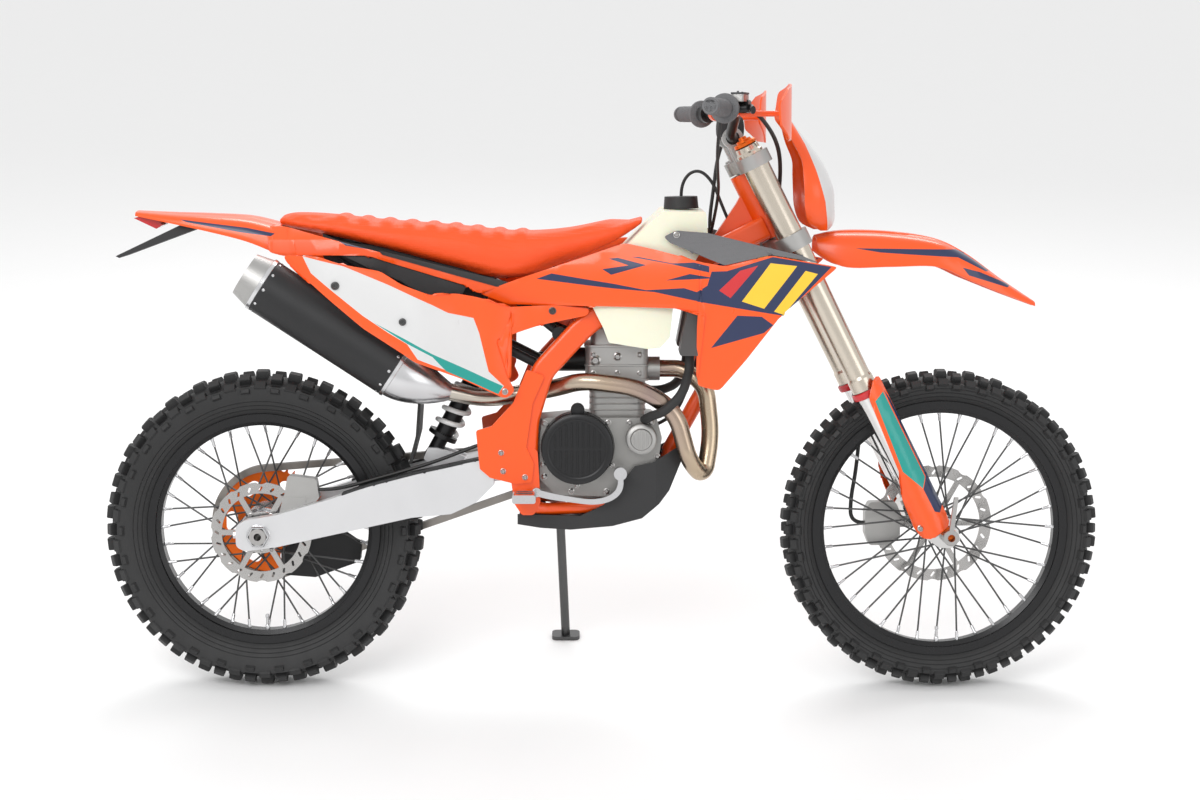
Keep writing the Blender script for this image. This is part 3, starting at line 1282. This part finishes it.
CASE_BOLTS = [(-123, 592), (-77, 594), (14, 594), (60, 594), (108, 594), (120, 520), (78, 456), (10, 444),
              (-66, 444), (-124, 476), (-124, 534)]
case_spots = [((x, CASE_FACE, z), RIGHT, 6.5) for x, z in CASE_BOLTS]
for hub, face, reach, radius, turns in (
        (PUMP, CASE_FACE - 21, 27, 5, (0.5, 1.9, 3.4, 4.8)),
        (CLUTCH, CASE_FACE - 1, 84, 5.5, (1.6, 2.5, 3.6, 4.7, 5.8))):
    case_spots += [((hub.x + reach * math.cos(turn), face, hub.z + reach * math.sin(turn)), RIGHT, radius)
                   for turn in turns]
bolts("case_bolts", case_spots, bolt_steel)
print("bolts on the engine", len(case_spots))

# %% [markdown]
# Cylinder and head are castings too. Thin ridges stiffen the cooling jacket, a flange shows
# where each part of the casting meets the next, and bolts of several sizes, one of them a
# large plug, sit on the right side.

# %% Cylinder
BARREL = (34, 118, 112)
HEAD = (32, 136, 124)
jacket = bmesh.new()


def box_outline(long, wide, middle=0.0):
    """A rectangle's corners, its middle moved along X."""
    return [(middle - long / 2, -wide / 2), (middle + long / 2, -wide / 2),
            (middle + long / 2, wide / 2), (middle - long / 2, wide / 2)]


def band(block, grow, low, high):
    """A flat ring round a block given as (middle, length, width), standing out by half of grow."""
    outline = rounded(box_outline(block[1] + grow, block[2] + grow, block[0]), 17)
    prism(jacket, outline, Matrix.Translation((0, 0, low)), high - low)


for level in range(616, 680, 13):
    band(BARREL, 5, level, level + 3)
for level, grow in ((681, 5), (754, 5), (712, 3)):
    band(HEAD, grow, level, level + 5)
jacket_ribs = piece("jacket_ribs", jacket, cast_alloy, edge=0.8)
HEAD_SIDE = -HEAD[2] / 2 - 0.2
head_spots = [((x, HEAD_SIDE, z), RIGHT, 6) for x in (-18, 82) for z in (698, 738)]
head_spots += [((x, HEAD_SIDE, z), RIGHT, radius)
               for x, z, radius in ((-14, 726, 12), (34, 734, 9), (34, 699, 6))]
bolts("head_bolts", head_spots, bolt_steel)
print("jacket", len(jacket_ribs.data.polygons))

# %% [markdown]
# The silencer is an alloy can in a black sleeve: bands hold its ends, and pop rivets hold
# the bands. Its end cap has a dark outlet.

# %% Silencer trim
MUFFLER_RIVETS = 10
BAND_WIDE, BAND_PROUD, RIVETS_IN = 9, 1.2, 16
muffler = bmesh.new()
for start in (0, MUFFLER_LENGTH - BAND_WIDE):
    proud, end = MUFFLER_R + BAND_PROUD, start + BAND_WIDE
    lathe(muffler, [(MUFFLER_R, start), (proud, start + 1), (proud, end - 1), (MUFFLER_R, end)],
          MUFFLER_FRONT, MUFFLER_WAY, 64)
piece("muffler_bands", muffler, machined_alloy, sharp=30)
across_way = MUFFLER_WAY.cross(LEFT).normalized()
rivets = bmesh.new()
for start in (RIVETS_IN, MUFFLER_LENGTH - RIVETS_IN):
    for x, y in around(MUFFLER_RIVETS, 1, 0.5):
        out = across_way * x + MUFFLER_WAY.cross(across_way) * y
        lathe(rivets, [(3.4, -0.5), (3.4, 0.4), (2.4, 1.4), (0.01, 1.8)],
              MUFFLER_FRONT + MUFFLER_WAY * start + out * MUFFLER_R, out, 12)
piece("muffler_rivets", rivets, machined_alloy)
outlet = bmesh.new()
lathe(outlet, [(22, 0), (21, 1), (20.5, -20), (0, -20)],
      MUFFLER_BACK + MUFFLER_WAY * 38.5, MUFFLER_WAY, 32)
piece("muffler_outlet", outlet, muffler_black)
print("silencer length", round(MUFFLER_LENGTH), "rivets", 2 * MUFFLER_RIVETS)

# %% [markdown]
# The fork ends in adjusters under orange caps. Dust seals close the lower ends of its tubes,
# and the front axle has a wide orange puller with a knurled rim.

# %% Fork and axle details
FORK_TOP, TUBE_FOOT = 946, 360
KNURLS, PULLER_R = 14, 14
fork = bmesh.new()
seals = bmesh.new()
for side in (1, -1):
    top = on_fork(LEGS_AHEAD, side * LEG_SPREAD, FORK_TOP)
    lathe(fork, [(25, -1), (25, 5), (23, 7), (17, 7), (16, 12), (9, 13), (8, 18), (0.01, 18)],
          top, FORK_UP, 32)
    foot = on_fork(LEGS_AHEAD, side * LEG_SPREAD, TUBE_FOOT)
    lathe(seals, [(24.4, -14), (31, -12), (32.5, -8), (32.5, 1), (29.4, 3)], foot, FORK_UP, 40)
piece("fork_caps", fork, orange_anodising, "steering")
piece("fork_seals", seals, red_print, "steering")
puller = bmesh.new()
puller_at = FRONT_AXLE + Vector((-2, -LEG_SPREAD - 26, 6))
lathe(puller, [(0.01, 0), (13, 0), (PULLER_R, 2), (PULLER_R, 8), (12, 11), (6, 11), (6, 8), (0.01, 8)],
      puller_at, RIGHT, 28)
for x, z in around(KNURLS, PULLER_R):
    lathe(puller, [(0.01, 1), (2, 1), (2, 9), (0.01, 9)], puller_at + Vector((x, 0, z)), RIGHT, 8)
axle_puller = piece("axle_puller", puller, orange_anodising, "steering")
print("axle puller faces", len(axle_puller.data.polygons))

# %% [markdown]
# Bolts, washers and nuts finish the panels, the frame plates and the wheels. Each is the
# same domed bolt, placed by its spot and the way it faces.

# %% Bolts on the panels and the frame
PLATE_FACE = -118.5
DISC_BOLTS, DISC_BOLT_RING = 6, 44


def both_sides(spots):
    """The same bolts on the right and on the left, from (x, z, distance out, radius)."""
    return [((x, out if way is LEFT else -out, z), way, radius)
            for way in (RIGHT, LEFT) for x, z, out, radius in spots]


dark_spots = [(x, z, side_out(x, z) + 0.2, radius) for x, z, radius in (
    (-560, 896, 9), (-419, 820, 8), (-105, 838, 8))]
bright_spots = [(158, 1001, shroud_out(158, 1001) + 2, 7), (-206, 668, side_out(-206, 668) + 0.2, 7)]
guard_spots = [(678, 369, guard_out(678, 369) + 0.2, 7)]
plate_spots = [((x, PLATE_FACE, z), RIGHT, 7.5) for x, z in ((-216, 532), (-212, 492), (-165, 479))]
bolts("panel_bolts", both_sides(dark_spots), dark_steel)
bolts("panel_screws", both_sides(bright_spots), bolt_steel)
bolts("guard_screws", both_sides(guard_spots), bolt_steel, "steering")
bolts("plate_bolts", plate_spots, bolt_steel)
for name, axle, y, way, body in (
        ("front_disc_bolts", FRONT_AXLE, 61, LEFT, "front_wheel"),
        ("rear_disc_bolts", REAR_AXLE, -73, RIGHT, "rear_wheel")):
    ring = [(axle + Vector((x, y, z)), way, 5.5) for x, z in around(DISC_BOLTS, DISC_BOLT_RING)]
    bolts(name, ring, bolt_steel, body)
print("bolts a side", len(dark_spots + bright_spots + guard_spots), "and", DISC_BOLTS, "on each disc")

# %% [markdown]
# Each grip has rings along it, a rounded end and a thick flange against the thumb. Small
# oil reservoirs with screwed lids sit on the brake and clutch cylinders.

# %% Bar controls
def bar_frame(side, inboard):
    """A point on the bar that many millimetres in from its end, and the way inwards there."""
    end = Vector((BAR_END.x, side * BAR_END.y, BAR_END.z))
    way = Vector((INBOARD.x, side * INBOARD.y, INBOARD.z))
    return end + way * inboard, way


GRIP_RINGS, RING_PITCH = 13, 7.6
grip_parts = bmesh.new()
for side in (1, -1):
    at, way = bar_frame(side, 0)
    lathe(grip_parts, [(0.01, -4), (13, -4), (17, -2), (18, 2), (18, 8), (17.2, 9)], at, way, 32)
    lathe(grip_parts, [(17, 116), (30, 117), (31, 120), (30, 125), (17, 127)], at, way, 40)
    for number in range(GRIP_RINGS):
        ring = [(radius, height + number * RING_PITCH)
                for radius, height in ((16.8, 14), (18.3, 16), (18.3, 18), (16.8, 20))]
        lathe(grip_parts, ring, at, way, 32)
grip_rings = piece("grip_rings", grip_parts, grip_rubber, "steering", sharp=40)

FLIP = Matrix.Rotation(math.pi, 4, "X")
reservoirs = bmesh.new()
lids = bmesh.new()
for side in (1, -1):
    at, way = bar_frame(side, 152)
    cross = way.cross(Vector((0, 0, 1))).normalized() * (1 if side > 0 else -1)
    place = Matrix((way, cross, way.cross(cross))).transposed().to_4x4()
    place.translation = at + Vector((24, 0, 14))
    upwards = place.to_3x3().col[2].z > 0
    prism(reservoirs, rounded(box_outline(48, 28), 6), place if upwards else place @ FLIP, 16)
    lid_at = at + Vector((24, 0, 30))
    lid_turn = Matrix.Rotation(math.atan2(way.y, way.x), 4, "Z")
    prism(lids, rounded(box_outline(50, 30), 6), Matrix.Translation(lid_at) @ lid_turn, 3.5)
    for step in (-1, 1):
        bolt(lids, lid_at + way * 19 * step + Vector((0, 0, 3.4)), (0, 0, 1), 3)
piece("oil_boxes", reservoirs, cast_alloy, "steering", edge=1.2)
piece("oil_lids", lids, grey_plastic, "steering", edge=0.5)
print("bar controls", len(grip_rings.data.polygons))

# %% [markdown]
# The swingarm's ends hold the wheel: a big nut with a washer on the axle, and behind it the
# bolt that tightens the chain. A plastic slider on top of each arm keeps the chain and the
# mud off the metal.

# %% Swingarm ends
AXLE_FACE = 116.2
SLIDER_RIVETS = 11
ARM_TOP = [(-232, 521), (-300, 507), (-400, 485), (-500, 459), (-560, 438)]
arm_parts = bmesh.new()
for side in (1, -1):
    at = REAR_AXLE + Vector((0, side * AXLE_FACE, 0))
    out = LEFT * side
    lathe(arm_parts, [(20.3, 0), (26, 0), (26, 2.4), (25, 3), (20.3, 3)], at, out, 32)
    lathe(arm_parts, [(20.3, 3), (24.5, 3), (25, 4), (25, 12), (23.6, 14), (21, 14)], at, out, 6)
    back = REAR_AXLE + Vector((-44, side * (AXLE_FACE - 14), 0))
    lathe(arm_parts, [(0.01, -6), (4, -6), (4, 6), (8, 6), (8, 12), (0.01, 12)], back, (-1, 0, 0), 6)
axle_nuts = piece("axle_nuts", arm_parts, machined_alloy, sharp=30)

ARM_HEIGHTS = list(reversed(ARM_TOP))
sliders = bmesh.new()
for side in (1, -1):
    flat = Matrix(((1, 0, 0), (0, 0, 1), (0, 1, 0))).to_4x4()
    flat.translation = Vector((0, 87 if side > 0 else -117, 0))
    prism(sliders, ARM_TOP + [(x, z + 5) for x, z in ARM_HEIGHTS], flat, 30)
    for number in range(SLIDER_RIVETS):
        x = -245 - 300 * (number / SLIDER_RIVETS)
        at = (x, side * 117, between(ARM_HEIGHTS, x) + 2.6)
        lathe(sliders, [(0.01, 0), (3.2, 0), (2.6, 2.2), (0.01, 2.2)], at, LEFT * side, 10)
arm_sliders = piece("arm_sliders", sliders, black_plastic, edge=0.6)
print("swingarm trim", len(axle_nuts.data.polygons), len(arm_sliders.data.polygons))
